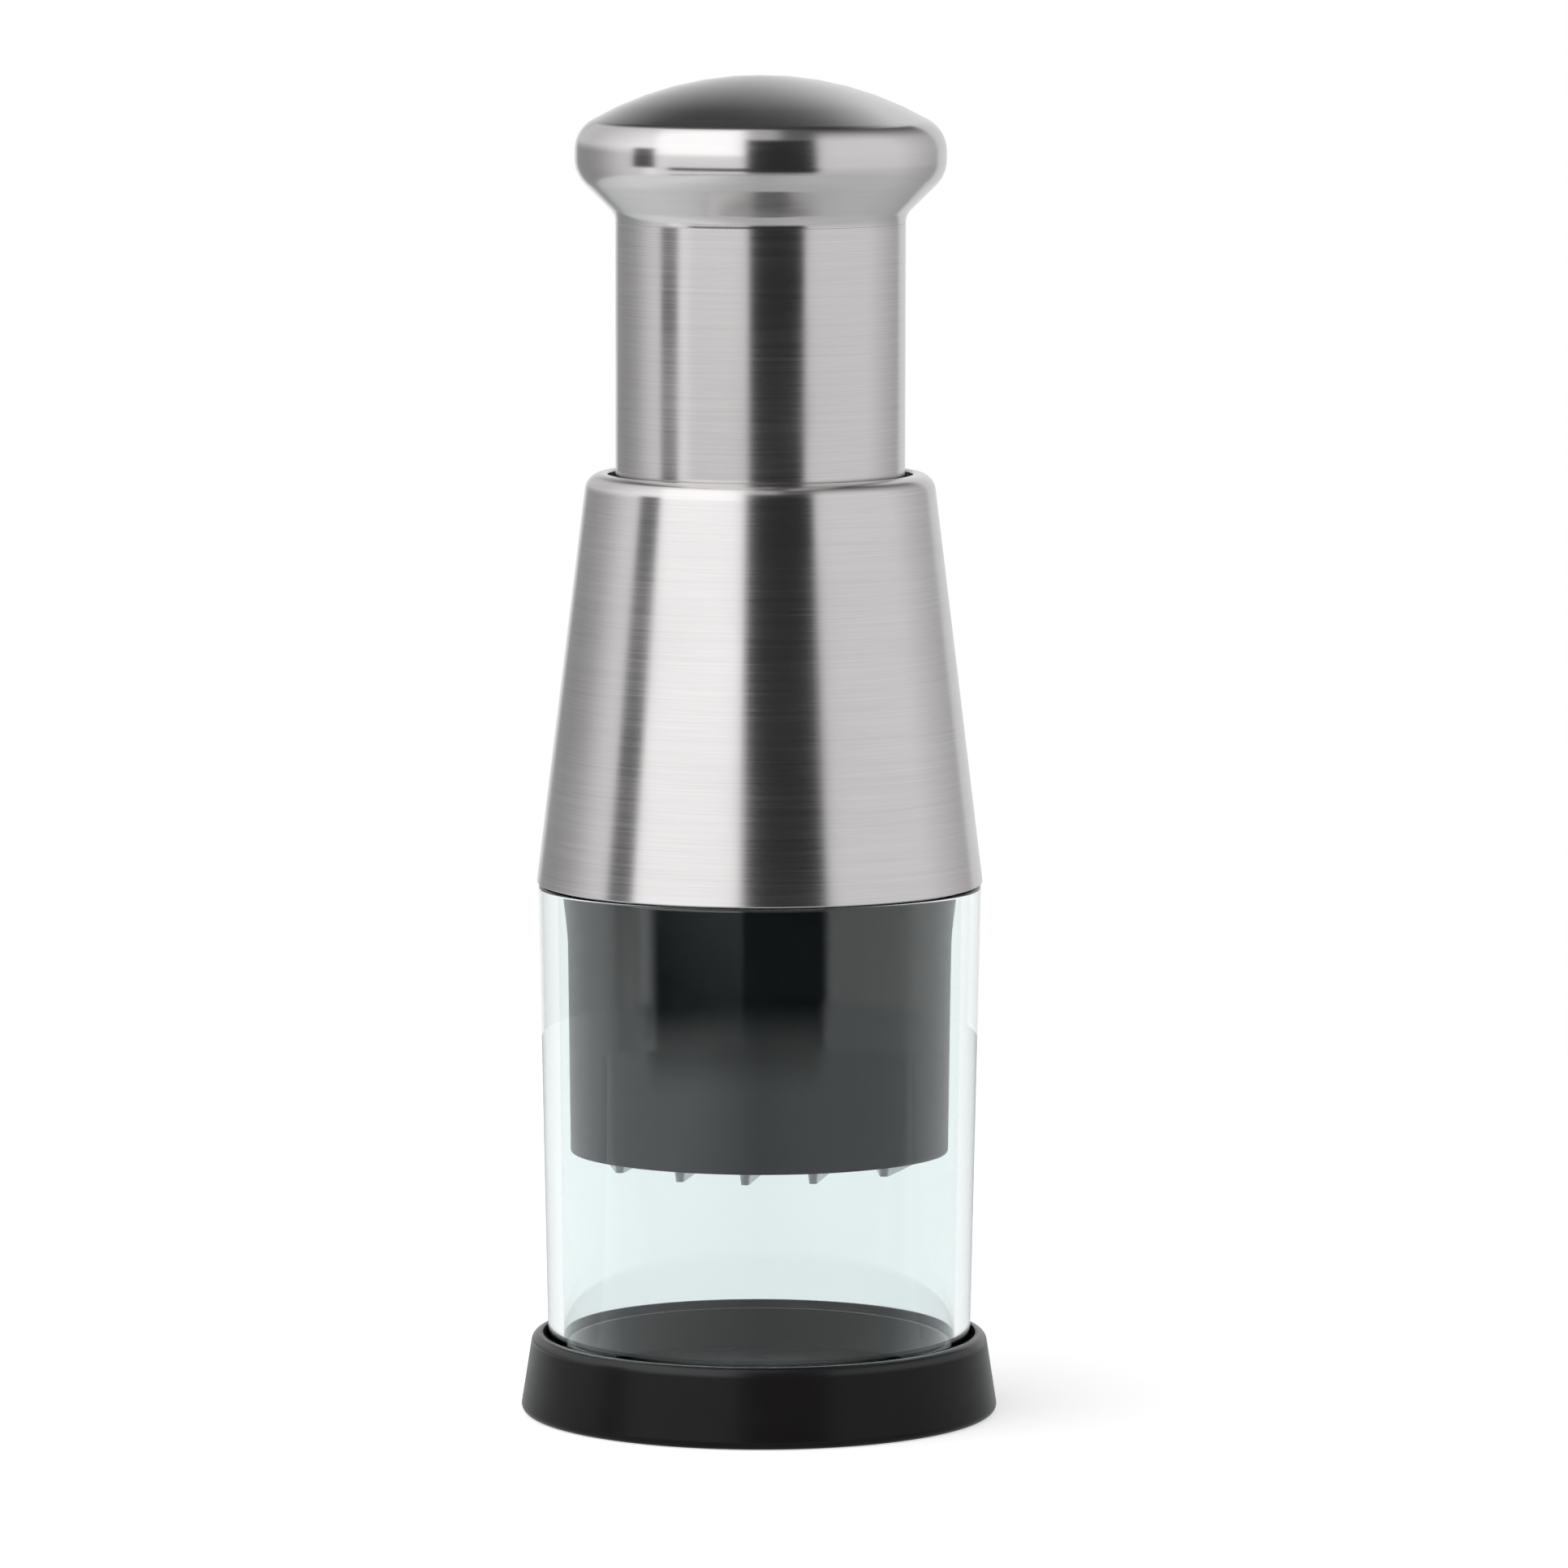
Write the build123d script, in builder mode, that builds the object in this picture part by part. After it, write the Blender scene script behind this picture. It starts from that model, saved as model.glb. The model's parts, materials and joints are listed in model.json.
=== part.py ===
"""Plunger food chopper: a hand-held kitchen chopper that stands on its own base.

Pressing the knob drives a zigzag blade down through a stripper plate onto a board in the base.
A spring lifts it again, and a spiral spindle turns the blade a little over every stroke.

Frame: millimetres, +Z up, origin at the centre of the foot, on the surface it stands on.
The front of the chopper faces -Y. Heights are stacked up from the foot and radii are worked
inwards from the container, so a change of one size moves what stands on it or fits in it.
"""

import os
from math import asin, atan2, cos, pi, radians, sin, sqrt, tan

from build123d import *

# ---------------------------------------------------------------- driving dimensions

# motion
stroke = 25.5  # travel of the knob and of the blade
index_angle = 33.0  # degrees that the blade turns over one stroke
ratchet_teeth = 12

# fits and running gaps
slide_gap = 0.2  # radial, between pieces that slide or lift off
snug_gap = 0.05  # radial, between pieces that are pushed or glued together
seat_gap = 0.2  # axial, between pieces that come to rest near each other
end_gap = 0.5  # axial room that is left at the end of the stroke
tip_gap = 0.4  # blade tips above the board at the end of the stroke

# clear container
container_top_radius = 26.7
container_taper = 1.25  # how much narrower the foot is than the top
container_foot_wall = 1.85
container_top_wall = 2.3
neck_wall = 0.9
neck_length = 2.8
container_edge = 0.4

# base cap
base_height = 9.6
rim_width = 1.65
foot_spread = 1.5  # how far the foot reaches past the rim
foot_width = 4.4
foot_round = 0.9
rim_round = 1.1
underside_recess = 1.0
floor_thickness = 1.6
groove_rise = 0.8  # container's foot above the floor of the dish
groove_room = 0.35  # radial, outside the container's foot
ridge_width = 0.8  # between the groove and the dish
ridge_drop = 0.6  # from the rim to the ridge
dish_step = 0.5  # dish's wall stands straight up past the board

# cutting board
board_thickness = 2.0
board_edge = 0.3
board_margin = 0.5  # board past the blade

# blade guard
guard_gap = 1.15  # between the guard's skirt and the container's wall
guard_wall = 1.25
guard_foot_round = 0.4
guard_flare = 0.75
guard_flare_length = 6.5
guard_flare_round = 30.0
flange_thickness = 2.3
ceiling_thickness = 2.0
lip_width = 1.0
lip_thickness = 0.6
blade_show = 1.7  # how far the tips stand out of the guard at rest
seal_wire = 1.2
seal_reach = 0.1  # gap between the seal and the container's neck

# stripper plate and its ring
stripper_thickness = 2.2
slot_gap = 0.35
ring_wire = 1.0
ring_depth = 0.35  # how deep the ring sits in the guard's wall
ring_opening = 24.0  # degrees

# blade
blade_thickness = 0.5
blade_margin = 2.3  # from the folds to the guard's bore
front_folds = 5
fold_margin = 3.7  # from the outermost folds to the blade's side
fold_half_width = 0.38
fold_round = 0.9  # share of the half width
blade_end = 2.0  # how far the strip's ends reach past the middle
blade_turn = -5.0  # degrees about Z, where the blade stands at rest
grind_height = 1.6
edge_thickness = 0.12

# blade holder and its screws
holder_gap = 0.45  # inside the stripper's ring
holder_thickness = 3.5
holder_edge = 0.4
blade_inset = 2.6  # depth of the strip in the holder
holder_screw_radius = 0.95
holder_head_radius = 2.0
holder_screw_length = 4.2

# spindle
spindle_side = 6.0
spindle_corner = 0.5
spindle_flange_thickness = 1.6
flange_margin = 0.4
journal_step = 0.35
cap_screw_radius = 1.45
cap_head_radius = 3.0
cap_head_height = 1.8
cap_washer_gap = 0.5  # inside the chamber
cap_washer_thickness = 0.7
recess_width = 0.6  # of the cross recesses in all the screws

# cam bush, ratchet and spring seat
cam_wall = 1.55
cam_ledge = 3.0  # cam bush's flange past its body
cam_flange_thickness = 1.5
cam_lift = 0.4  # cam bush's foot above the housing's floor
tooth_height = 1.2
tooth_step = 0.4  # teeth stand this far out from the bore
tooth_lag = 1.0  # degrees of room behind each tooth
hub_rise = 1.0
hub_width = 3.2
seat_thickness = 0.7
seat_rim = 1.2
seat_rim_width = 0.8

# return spring
spring_wire = 1.3
spring_coils = 12
spring_room = 0.95  # around the plunger's boss

# housing
liner_floor = 2.5
liner_rib_count = 6
liner_rib_thickness = 1.4
liner_rib_drop = 4.0  # below the top of the guide
guard_screw_count = 3
guard_screw_radius = 1.05
guard_head_radius = 2.0
guard_screw_length = 7.4
boss_wall = 1.25
boss_cap = 1.1
bush_spigot = 2.6
bush_height = 8.5  # above the guide
bush_chamfer = 1.6

# plunger tube and stop collar
tube_radius = 17.4
tube_wall = 0.8
collar_wall = 1.3
collar_height = 4.6
collar_ledge = 1.0
key_count = 3
key_depth = 0.8
key_width = 4.0
bumper_thickness = 1.2
bumper_inset = 0.1

# steel shell
shell_wall = 0.8
shell_overhang = 0.2  # past the container's top
shell_slope_in = 3.44  # shell's top corner outside the tube
shoulder_round = 2.2
mouth_gap = 0.95
mouth_round = 0.6  # at most 0.8 of the wall
shell_over_bush = 1.25

# knob
knob_clearance = 4.55  # neck above the shell at the end of the stroke
knob_wall = 0.8
knob_radius = 22.3
neck_rise = 0.95  # straight neck under the knob's slope
slope_rise = 4.8
rim_rise = 5.2  # from the slope's top corner to the crown's
crown_rise = 6.65
neck_bend = 0.97  # share of the neck that bends into the slope
under_bend = 0.35  # share of the rim that bends into the slope
crown_bend = 0.44  # share of the rim that bends into the crown

# knob core and the stud that holds the knob on
core_gap = 0.2
core_disc = 4.0
core_skirt = 8.0
core_wall = 1.0
core_spigot = 1.6
core_stem_radius = 6.0
core_boss_wall = 1.5
chamber_roof = 9.0  # chamber's top below the core's disc
chamber_room = 0.56  # around the nut's corners
stud_radius = 2.0
stud_pad_radius = 4.5
stud_pad_thickness = 0.8
nut_width = 7.0  # across flats
nut_thickness = 3.2
nut_washer_thickness = 0.8
stud_end = 1.2  # below the nut
bush_wall = 2.6  # thrust bush
bush_flange_width = 1.2
bush_flange_thickness = 1.0
bush_length = 5.4
running_gap = 0.1  # between the journal and its bush

# ---------------------------------------------------------------- heights, foot to knob

floor_top = underside_recess + floor_thickness
board_top = floor_top + board_thickness
container_foot = floor_top + groove_rise
blade_tip = board_top + tip_gap + stroke
guard_foot = blade_tip + blade_show
lip_top = guard_foot + lip_thickness
stripper_foot = lip_top + seat_gap
stripper_top = stripper_foot + stripper_thickness
ring_height = stripper_top + seat_gap + ring_wire / 2
holder_foot = stripper_top + end_gap + stroke
holder_top = holder_foot + holder_thickness
spindle_flange_top = holder_top + spindle_flange_thickness
ceiling_foot = holder_top + 2 * seat_gap
neck_top = ceiling_foot + ceiling_thickness
shoulder = neck_top - neck_length
flange_foot = neck_top - flange_thickness
flare_foot = flange_foot - guard_flare_length
seal_height = neck_top - flange_thickness / 2
liner_floor_top = neck_top + liner_floor
hub_top = liner_floor_top + hub_rise
cam_foot = neck_top + cam_lift
cam_teeth_foot = hub_top + seat_gap
cam_top = cam_teeth_foot + tooth_height + cam_flange_thickness
seat_top = cam_top + seat_thickness
collar_foot = liner_floor_top + end_gap + stroke
collar_top = collar_foot + collar_height
bumper_top = collar_top + bumper_thickness
bush_foot = bumper_top + seat_gap
guide_top = bush_foot + bush_spigot
bush_top = guide_top + bush_height
shell_foot = shoulder + seat_gap
shell_top = bush_top + shell_over_bush
neck_foot = shell_top + stroke + knob_clearance
slope_foot = neck_foot + neck_rise
slope_top = slope_foot + slope_rise
crown_foot = slope_top + rim_rise
knob_top = crown_foot + crown_rise
dome_radius = (knob_radius**2 + crown_rise**2) / (2 * crown_rise)
dome_centre = knob_top - dome_radius
disc_top = neck_foot - core_gap
disc_foot = disc_top - core_disc
chamber_top = disc_foot - chamber_roof
thrust_foot = seat_top + end_gap + stroke
boss_foot = thrust_foot + bush_flange_thickness
thrust_top = boss_foot + bush_length
spiral_top = thrust_foot - seat_gap
journal_top = thrust_top + seat_gap
cap_foot = journal_top + cap_washer_thickness

# ---------------------------------------------------------------- radii, container inwards

container_foot_radius = container_top_radius - container_taper
container_foot_bore = container_foot_radius - container_foot_wall
neck_bore = container_top_radius - container_top_wall
neck_radius = neck_bore + neck_wall
groove_inner_radius = container_foot_bore - slide_gap
groove_outer_radius = container_foot_radius + groove_room
rim_radius = groove_outer_radius + rim_width
foot_radius = rim_radius + foot_spread
underside_radius = foot_radius - foot_width
dish_rim_radius = groove_inner_radius - ridge_width
container_slope = (neck_bore - container_foot_bore) / (neck_top - container_foot)
guard_foot_radius = container_foot_bore + container_slope * (guard_foot - container_foot) - guard_gap
guard_top_radius = container_foot_bore + container_slope * (flare_foot - container_foot) - guard_gap
guard_flange_radius = neck_bore - slide_gap
guard_bore = guard_foot_radius - guard_wall
lip_radius = guard_bore - lip_width
blade_circle = guard_bore - blade_margin
blade_pitch = 2 * (blade_circle - fold_margin) / (front_folds - 1)
board_radius = blade_circle + board_margin
stripper_radius = guard_bore - slide_gap
ring_radius = guard_bore + ring_depth - ring_wire / 2
holder_radius = ring_radius - ring_wire / 2 - holder_gap

# ---------------------------------------------------------------- radii, spindle outwards

spindle_reach = spindle_side / sqrt(2) - (sqrt(2) - 1) * spindle_corner
spindle_flange_radius = blade_pitch + holder_head_radius + flange_margin
ceiling_hole_radius = spindle_flange_radius + 2 * slide_gap
journal_radius = spindle_side / 2 - journal_step
thrust_bore = journal_radius + running_gap
thrust_radius = thrust_bore + bush_wall
boss_radius = thrust_radius + core_boss_wall
chamber_radius = nut_width / sqrt(3) + chamber_room
cam_radius = spindle_reach + slide_gap + cam_wall
cam_flange_radius = cam_radius + cam_ledge
hub_bore = cam_radius + slide_gap
hub_radius = hub_bore + hub_width
spring_radius = boss_radius + spring_room + spring_wire / 2
seat_rim_radius = spring_radius + spring_wire / 2 + 2 * slide_gap
seat_radius = seat_rim_radius + seat_rim_width

# ---------------------------------------------------------------- radii, tube outwards

tube_bore = tube_radius - tube_wall
core_radius = tube_bore - core_gap
collar_ledge_radius = tube_bore - 1.5 * slide_gap
collar_radius = tube_radius + collar_wall
guide_bore = collar_radius + slide_gap
key_reach = collar_radius + key_depth
keyway_reach = key_reach + slide_gap
screw_circle = (ceiling_hole_radius + collar_ledge_radius) / 2
screw_boss_radius = guard_screw_radius + boss_wall
mouth_radius = tube_radius + mouth_gap
shell_foot_radius = container_top_radius + shell_overhang
shell_corner_radius = tube_radius + shell_slope_in
shell_slope = (shell_foot_radius - shell_corner_radius) / (shell_top - shell_foot)
bush_shoulder = bush_top - bush_chamfer

lift = Vector(0, 0, 1)
upwards = (Align.CENTER, Align.CENTER, Align.MIN)
downwards = (Align.CENTER, Align.CENTER, Align.MAX)
blade_plane = Plane.XY.rotated((0, 0, blade_turn))
rib_angles = [2 * pi * (rib + 0.5) / liner_rib_count for rib in range(liner_rib_count)]
rib_planes = [Plane((0, 0, 0), (cos(a), sin(a), 0), (sin(a), -cos(a), 0)) for a in rib_angles]


def shell_bore(height):
    """Inner radius of the steel shell's cone at a height."""
    skin = shell_wall * sqrt(1 + shell_slope**2)
    return shell_foot_radius - shell_slope * (height - shell_foot) - skin


def blade_line():
    """Centre line of the zigzag strip: folds at the back and at the front in turn."""
    points = []
    for fold in range(2 * front_folds - 1):
        x = (fold - (front_folds - 1)) * blade_pitch / 2
        depth = sqrt(blade_circle**2 - (abs(x) + fold_half_width) ** 2)
        y = depth if fold % 2 else -depth
        points += [(x - fold_half_width, y), (x + fold_half_width, y)]
    end_x = sqrt(blade_circle**2 - blade_end**2)
    with BuildLine(mode=Mode.PRIVATE) as strip:
        FilletPolyline(
            (-end_x, blade_end), *points, (end_x, blade_end), radius=fold_round * fold_half_width
        )
    return strip.line


def blade_outline(room):
    """Section of the zigzag strip with some room around it."""
    with BuildSketch(mode=Mode.PRIVATE) as outline:
        trace(blade_line(), line_width=blade_thickness)
        offset(amount=room)
    return outline.sketch


def spiral_bar(side, low, high):
    """Square bar along Z that twists with the spindle, in step with it at every height."""
    twist = index_angle / stroke
    angle = radians(blade_turn + twist * (low - spindle_flange_top))
    start = Plane((0, 0, low), x_dir=(cos(angle), sin(angle), 0), z_dir=(0, 0, 1))
    square = start * RectangleRounded(side, side, spindle_corner)
    return Solid.extrude_linear_with_rotation(
        square.face(), start.origin, lift * (high - low), twist * (high - low)
    )


def countersunk_screw(shank_radius, head_radius, length):
    """Screw that hangs down from a flat head at height 0."""
    head_height = head_radius - shank_radius
    tip_radius = shank_radius / 3
    with BuildPart(mode=Mode.PRIVATE) as screw:
        with BuildSketch(Plane.XZ):
            with BuildLine():
                Polyline(
                    (0, 0),
                    (head_radius, 0),
                    (shank_radius, -head_height),
                    (shank_radius, -length + shank_radius),
                    (tip_radius, -length),
                    (0, -length),
                    close=True,
                )
            make_face()
        revolve(axis=Axis.Z)
        with BuildSketch():
            Rectangle(head_radius, recess_width)
            Rectangle(recess_width, head_radius)
        extrude(amount=-head_height / 2, mode=Mode.SUBTRACT)
    return screw.part


def saw_teeth(inner, outer, low, turn=0.0):
    """Ring of saw teeth about Z: each rises over its share of the ring and drops straight down."""
    spread = tan(pi / ratchet_teeth)
    with BuildPart(mode=Mode.PRIVATE) as tooth:
        for radius in (inner, outer):
            with BuildSketch(Plane.YZ.offset(radius)):
                with BuildLine():
                    Polyline(
                        (-radius * spread, low),
                        (radius * spread, low),
                        (radius * spread, low + tooth_height),
                        close=True,
                    )
                make_face()
        loft(ruled=True)
    with BuildPart(mode=Mode.PRIVATE) as teeth:
        with PolarLocations(0, ratchet_teeth, start_angle=turn):
            add(tooth.part)
    return teeth.part


# ---------------------------------------------------------------- base

with BuildPart() as base_cap:
    with BuildSketch(Plane.XZ) as outline:
        with BuildLine():
            Polyline(
                (0, underside_recess),
                (underside_radius, underside_recess),
                (underside_radius, 0),
                (foot_radius, 0),
                (rim_radius, base_height),
                (groove_outer_radius, base_height),
                (groove_outer_radius, container_foot),
                (groove_inner_radius, container_foot),
                (groove_inner_radius, base_height - ridge_drop),
                (dish_rim_radius, base_height - ridge_drop),
                (board_radius + snug_gap, board_top + dish_step),
                (board_radius + snug_gap, floor_top),
                (0, floor_top),
                close=True,
            )
        make_face()
        fillet(outline.vertices().sort_by_distance((foot_radius, 0))[0], foot_round)
        fillet(outline.vertices().sort_by_distance((rim_radius, base_height))[0], rim_round)
    revolve(axis=Axis.Z)

with BuildPart() as cutting_board:
    with Locations((0, 0, floor_top)):
        Cylinder(board_radius, board_thickness, align=upwards)
    chamfer(cutting_board.edges().group_by(Axis.Z)[-1], board_edge)

# ---------------------------------------------------------------- container

with BuildPart() as clear_container:
    with BuildSketch(Plane.XZ) as outline:
        with BuildLine():
            Polyline(
                (container_foot_bore, container_foot),
                (container_foot_radius, container_foot),
                (container_top_radius, shoulder),
                (neck_radius, shoulder),
                (neck_radius, neck_top),
                (neck_bore, neck_top),
                close=True,
            )
        make_face()
        fillet(outline.vertices().group_by(Axis.Y)[0], container_edge)
        fillet(
            outline.vertices().sort_by_distance((container_top_radius, shoulder))[0],
            container_edge,
        )
        fillet(outline.vertices().group_by(Axis.Y)[-1], min(container_edge, 0.4 * neck_wall))
    revolve(axis=Axis.Z)

# ---------------------------------------------------------------- blade, stripper and holder

with BuildPart() as zigzag_blade:
    with BuildSketch(blade_plane.offset(blade_tip)):
        trace(blade_line(), line_width=blade_thickness)
    extrude(amount=holder_foot + blade_inset - blade_tip)
    edge = zigzag_blade.faces().sort_by(Axis.Z)[0]
    chamfer(
        edge.edges().filter_by(lambda side: side.length > blade_thickness * 1.01),
        length=(blade_thickness - edge_thickness) / 2,
        length2=grind_height,
        reference=edge,
    )

with BuildPart() as stripper_plate:
    with BuildSketch(blade_plane.offset(stripper_foot)):
        Circle(stripper_radius)
        add(blade_outline(slot_gap), mode=Mode.SUBTRACT)
    extrude(amount=stripper_thickness)

with BuildPart() as blade_holder:
    with Locations(blade_plane.offset(holder_foot)):
        Cylinder(holder_radius, holder_thickness, align=upwards)
    chamfer(blade_holder.edges().group_by(Axis.Z)[0], holder_edge)
    with BuildSketch(blade_plane.offset(holder_foot)):
        add(blade_outline(snug_gap))
    extrude(amount=blade_inset + snug_gap, mode=Mode.SUBTRACT)
    with BuildSketch(blade_plane.offset(holder_top)):
        with Locations((-blade_pitch, 0), (blade_pitch, 0)):
            Circle(holder_screw_radius + snug_gap)
    extrude(amount=-(holder_screw_length - spindle_flange_thickness + seat_gap), mode=Mode.SUBTRACT)

# ---------------------------------------------------------------- spindle

spiral_shaft = spiral_bar(spindle_side, holder_top + spindle_flange_thickness / 2, spiral_top)
spiral_hole = spiral_bar(spindle_side + 2 * slide_gap, cam_foot - cam_lift, cam_top + cam_lift)
holder_screw = countersunk_screw(holder_screw_radius, holder_head_radius, holder_screw_length)

with BuildPart() as drive_spindle:
    with Locations((0, 0, holder_top)):
        Cylinder(spindle_flange_radius, spindle_flange_thickness, align=upwards)
    with Locations(blade_plane.offset(spindle_flange_top)):
        with Locations((-blade_pitch, 0), (blade_pitch, 0)):
            CounterSinkHole(
                holder_screw_radius + snug_gap,
                holder_head_radius + snug_gap,
                counter_sink_angle=90,
            )
    add(spiral_shaft)
    with Locations((0, 0, spiral_top)):
        Cylinder(journal_radius, journal_top - spiral_top, align=upwards)
    with BuildSketch(Plane.XY.offset(journal_top)):
        Circle(cap_screw_radius + snug_gap)
    extrude(amount=-(journal_top - thrust_foot), mode=Mode.SUBTRACT)

with BuildPart() as holder_screws:
    with Locations(blade_plane.offset(spindle_flange_top)):
        with Locations((-blade_pitch, 0), (blade_pitch, 0)):
            add(holder_screw)

with BuildPart() as spindle_washer:
    with BuildSketch(Plane.XY.offset(journal_top)):
        Circle(chamber_radius - cap_washer_gap)
        Circle(cap_screw_radius + slide_gap, mode=Mode.SUBTRACT)
    extrude(amount=cap_washer_thickness)

with BuildPart() as spindle_screw:
    with Locations((0, 0, cap_foot)):
        Cylinder(cap_head_radius, cap_head_height, align=upwards)
    fillet(spindle_screw.edges().group_by(Axis.Z)[-1], cap_head_height / 2)
    with Locations((0, 0, cap_foot)):
        Cylinder(cap_screw_radius, cap_foot - thrust_foot - seat_gap, align=downwards)
    with BuildSketch(Plane.XY.offset(cap_foot + cap_head_height)):
        Rectangle(cap_head_radius, recess_width)
        Rectangle(recess_width, cap_head_radius)
    extrude(amount=-cap_head_height / 2, mode=Mode.SUBTRACT)

# ---------------------------------------------------------------- blade guard

guard_screw = countersunk_screw(guard_screw_radius, guard_head_radius, guard_screw_length)

with BuildPart() as blade_guard:
    with BuildSketch(Plane.XZ) as outline:
        with BuildLine():
            Polyline(
                (lip_radius, guard_foot),
                (guard_foot_radius, guard_foot),
                (guard_top_radius, flare_foot),
                (guard_top_radius + guard_flare, flange_foot),
                (guard_flange_radius, flange_foot),
                (guard_flange_radius, neck_top),
                (ceiling_hole_radius, neck_top),
                (ceiling_hole_radius, ceiling_foot),
                (guard_bore, ceiling_foot),
                (guard_bore, lip_top),
                (lip_radius, lip_top),
                close=True,
            )
        make_face()
        fillet(
            outline.vertices().sort_by_distance((guard_top_radius, flare_foot))[0],
            guard_flare_round,
        )
        fillet(
            outline.vertices().sort_by_distance((guard_foot_radius, guard_foot))[0],
            guard_foot_round,
        )
        # groove for the ring that keeps the stripper plate in
        with Locations((ring_radius, ring_height)):
            Rectangle(ring_wire + 2 * snug_gap, ring_wire + 2 * snug_gap, mode=Mode.SUBTRACT)
        # groove for the neck seal
        with Locations((neck_bore - seal_reach - seal_wire / 2, seal_height)):
            Rectangle(seal_wire + 2 * snug_gap, seal_wire + 2 * snug_gap, mode=Mode.SUBTRACT)
    revolve(axis=Axis.Z)
    with Locations(-Plane.XY.offset(ceiling_foot)):
        with PolarLocations(screw_circle, guard_screw_count):
            CounterSinkHole(
                guard_screw_radius + snug_gap,
                guard_head_radius + snug_gap,
                counter_sink_angle=90,
            )

with BuildPart() as guard_screws:
    with Locations(-Plane.XY.offset(ceiling_foot)):
        with PolarLocations(screw_circle, guard_screw_count):
            add(guard_screw)

with BuildPart() as retaining_ring:
    with BuildSketch(Plane.XZ):
        with Locations((ring_radius, ring_height)):
            Circle(ring_wire / 2)
    revolve(axis=Axis.Z, revolution_arc=360 - ring_opening)

with BuildPart() as neck_seal:
    with BuildSketch(Plane.XZ):
        with Locations((neck_bore - seal_reach - seal_wire / 2, seal_height)):
            Circle(seal_wire / 2)
    revolve(axis=Axis.Z)

# ---------------------------------------------------------------- housing

with BuildPart() as housing_liner:
    guide_radius = shell_bore(guide_top) - 2 * slide_gap
    floor_radius = shell_bore(liner_floor_top) - slide_gap
    rib_top = guide_top - liner_rib_drop
    # floor, guide tube and the hub around the cam bush
    with BuildSketch(Plane.XZ):
        with BuildLine():
            Polyline(
                (hub_bore, neck_top),
                (floor_radius, neck_top),
                (floor_radius, liner_floor_top),
                (guide_radius, liner_floor_top),
                (guide_radius, guide_top),
                (guide_bore, guide_top),
                (guide_bore, liner_floor_top),
                (hub_radius, liner_floor_top),
                (hub_radius, hub_top),
                (hub_bore, hub_top),
                close=True,
            )
        make_face()
    revolve(axis=Axis.Z)
    # ribs that centre the steel shell
    with BuildSketch(*rib_planes):
        with BuildLine():
            Polyline(
                (guide_bore + slide_gap, liner_floor_top),
                (shell_bore(liner_floor_top) - slide_gap, liner_floor_top),
                (shell_bore(rib_top) - slide_gap, rib_top),
                (guide_bore + slide_gap, rib_top),
                close=True,
            )
        make_face()
    extrude(amount=liner_rib_thickness / 2, both=True)
    # keyways that stop the plunger from turning
    with BuildSketch(Plane.XY.offset(liner_floor_top)):
        with PolarLocations(guide_bore, key_count):
            Rectangle(2 * (keyway_reach - guide_bore), key_width + 2 * slide_gap)
    extrude(amount=guide_top - liner_floor_top, mode=Mode.SUBTRACT)
    # bosses for the guard's screws
    with BuildSketch(Plane.XY.offset(liner_floor_top)):
        with PolarLocations(screw_circle, guard_screw_count):
            Circle(screw_boss_radius)
    extrude(amount=ceiling_foot + guard_screw_length + boss_cap - liner_floor_top)
    with BuildSketch(Plane.XY.offset(neck_top)):
        with PolarLocations(screw_circle, guard_screw_count):
            Circle(guard_screw_radius + snug_gap)
    extrude(amount=guard_screw_length - ceiling_thickness + seat_gap, mode=Mode.SUBTRACT)
    add(saw_teeth(hub_bore + tooth_step, hub_radius * cos(pi / ratchet_teeth), hub_top))

with BuildPart() as guide_bush:
    bush_radius = shell_bore(bush_shoulder) - slide_gap
    with BuildSketch(Plane.XZ):
        with BuildLine():
            Polyline(
                (tube_radius + slide_gap, bush_foot),
                (guide_bore - snug_gap, bush_foot),
                (guide_bore - snug_gap, guide_top),
                (bush_radius, guide_top),
                (bush_radius, bush_shoulder),
                (bush_radius - bush_chamfer, bush_top),
                (tube_radius + slide_gap, bush_top),
                close=True,
            )
        make_face()
    revolve(axis=Axis.Z)

with BuildPart() as cam_bush:
    with BuildSketch(Plane.XZ):
        with BuildLine():
            Polyline(
                (0, cam_foot),
                (cam_radius, cam_foot),
                (cam_radius, cam_teeth_foot),
                (cam_flange_radius, cam_teeth_foot),
                (cam_flange_radius, cam_top),
                (0, cam_top),
                close=True,
            )
        make_face()
    revolve(axis=Axis.Z)
    add(saw_teeth(cam_radius, hub_radius, cam_teeth_foot), mode=Mode.SUBTRACT)
    add(saw_teeth(cam_radius, hub_radius, cam_teeth_foot, tooth_lag), mode=Mode.SUBTRACT)
    add(spiral_hole, mode=Mode.SUBTRACT)

with BuildPart() as spring_seat:
    with BuildSketch(Plane.XZ):
        with BuildLine():
            Polyline(
                (spindle_reach + 2 * slide_gap, cam_top),
                (seat_radius, cam_top),
                (seat_radius, seat_top + seat_rim),
                (seat_rim_radius, seat_top + seat_rim),
                (seat_rim_radius, seat_top),
                (spindle_reach + 2 * slide_gap, seat_top),
                close=True,
            )
        make_face()
    revolve(axis=Axis.Z)

with BuildPart() as return_spring:
    spring_foot = seat_top + spring_wire / 2 + snug_gap
    spring_length = disc_foot - seat_top - spring_wire - 2 * snug_gap
    with BuildLine() as coil:
        Helix(spring_length / spring_coils, spring_length, spring_radius, center=(0, 0, spring_foot))
    with BuildSketch(Plane(coil.line @ 0, z_dir=coil.line % 0)):
        Circle(spring_wire / 2)
    sweep()

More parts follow.
